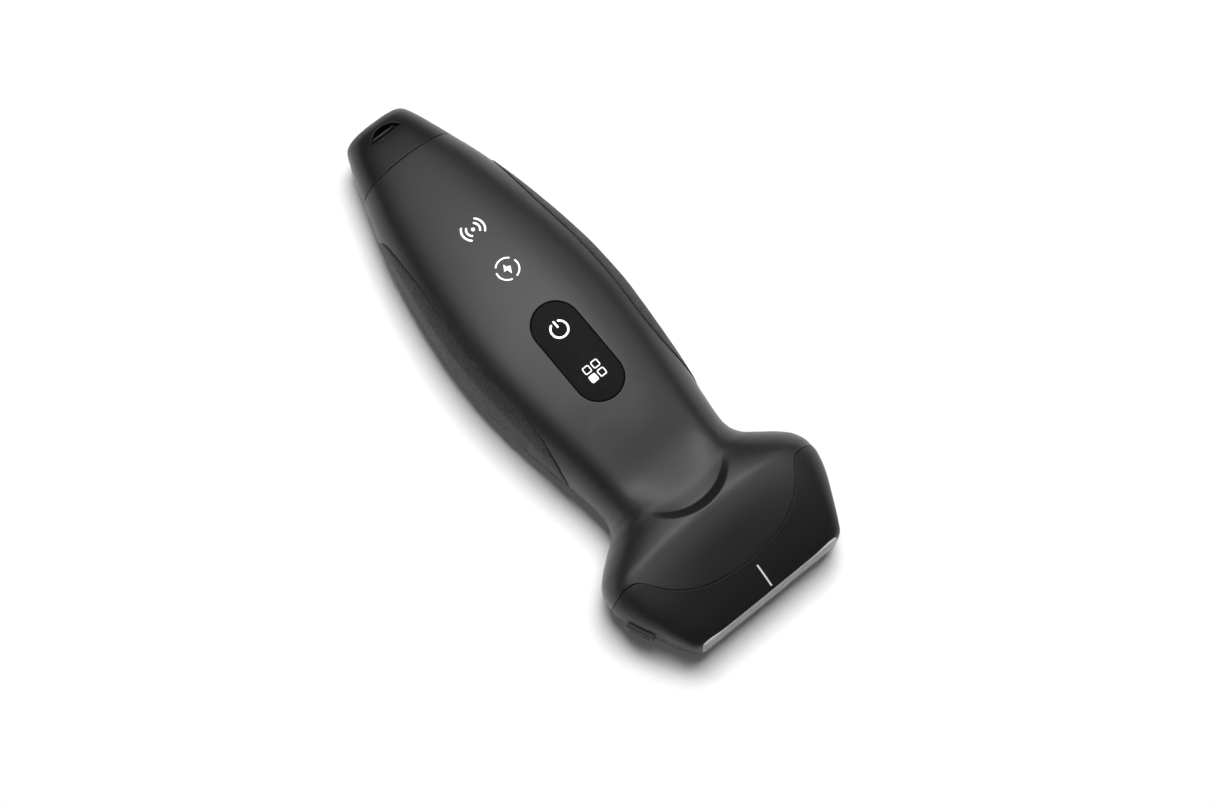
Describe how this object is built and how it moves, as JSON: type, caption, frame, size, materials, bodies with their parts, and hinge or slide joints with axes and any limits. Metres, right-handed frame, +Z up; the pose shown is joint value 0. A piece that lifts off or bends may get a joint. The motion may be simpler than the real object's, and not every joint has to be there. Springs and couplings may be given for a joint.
{
  "type": "wireless ultrasound probe",
  "caption": "Handheld wireless ultrasound probe with a tapered handle, rubber side grips, keypad, narrow neck, flared head and flat lens.",
  "frame": {"origin": "middle of the footprint, on the flat of the belly", "axes": "+X from the tail to the lens, +Y to the left grip, +Z up through the keypad"},
  "size_m": [0.1582, 0.065, 0.027],
  "materials": {
    "soft_touch_shell": "soft-touch dark grey coating",
    "gloss_cap": "satin black moulding",
    "nose_plastic": "fine matte black moulding",
    "lens_rubber": "smooth grey silicone",
    "grip_rubber": "leather-grained black rubber",
    "ridge_plastic": "matte black",
    "keypad_gloss": "smooth black",
    "light_guide": "milky clear",
    "switch_metal": "tinned sheet",
    "led_resin": "clear resin",
    "circuit_board": "green solder mask",
    "chip_resin": "black resin",
    "frame_metal": "cast",
    "battery_foil": "foil",
    "foam_pad": "foam",
    "coil_copper": "wound copper",
    "ferrite": "sintered",
    "flex_film": "amber film",
    "backing_resin": "loaded resin",
    "piezo_ceramic": "diced ceramic",
    "matching_resin": "filled resin",
    "seal_rubber": "moulded",
    "screw_steel": "plated"
  },
  "bodies": {
    "housing": {"upper_shell": "soft_touch_shell", "lower_shell": "soft_touch_shell", "tail_cap": "gloss_cap", "nose_housing": "nose_plastic", "acoustic_lens": "lens_rubber", "left_grip": "grip_rubber", "right_grip": "grip_rubber", "orientation_ridge": "ridge_plastic", "keypad_plate": "keypad_gloss", "signal_light_guide": "light_guide", "charge_light_guide": "light_guide", "power_switch": "switch_metal", "mode_switch": "switch_metal", "signal_led": "led_resin", "charge_led": "led_resin", "main_board": "circuit_board", "processor_chip": "chip_resin", "radio_can": "switch_metal", "memory_chip": "chip_resin", "antenna_board": "circuit_board", "inner_frame": "frame_metal", "battery_pack": "battery_foil", "battery_board": "circuit_board", "battery_pad": "foam_pad", "charging_coil": "coil_copper", "ferrite_sheet": "ferrite", "front_end_board": "circuit_board", "beamformer_chip": "chip_resin", "link_flex": "flex_film", "array_flex": "flex_film", "backing_block": "backing_resin", "piezo_array": "piezo_ceramic", "matching_layer": "matching_resin", "shell_gasket": "seal_rubber", "nose_gasket": "seal_rubber", "tail_gasket": "seal_rubber", "shell_screws": "screw_steel", "frame_screws": "screw_steel", "board_screws": "screw_steel", "front_board_screws": "screw_steel"},
    "power_key": {"power_key": "keypad_gloss"},
    "mode_key": {"mode_key": "keypad_gloss"}
  },
  "joints": [
    {"name": "power_key_press", "type": "slide", "parent": "housing", "child": "power_key", "axis": [0, 0, -1], "range_m": [0, 0.0004], "stiffness_N_per_m": 2000, "springref_m": -0.0003},
    {"name": "mode_key_press", "type": "slide", "parent": "housing", "child": "mode_key", "axis": [0, 0, -1], "range_m": [0, 0.0004], "stiffness_N_per_m": 2000, "springref_m": -0.0003}
  ]
}
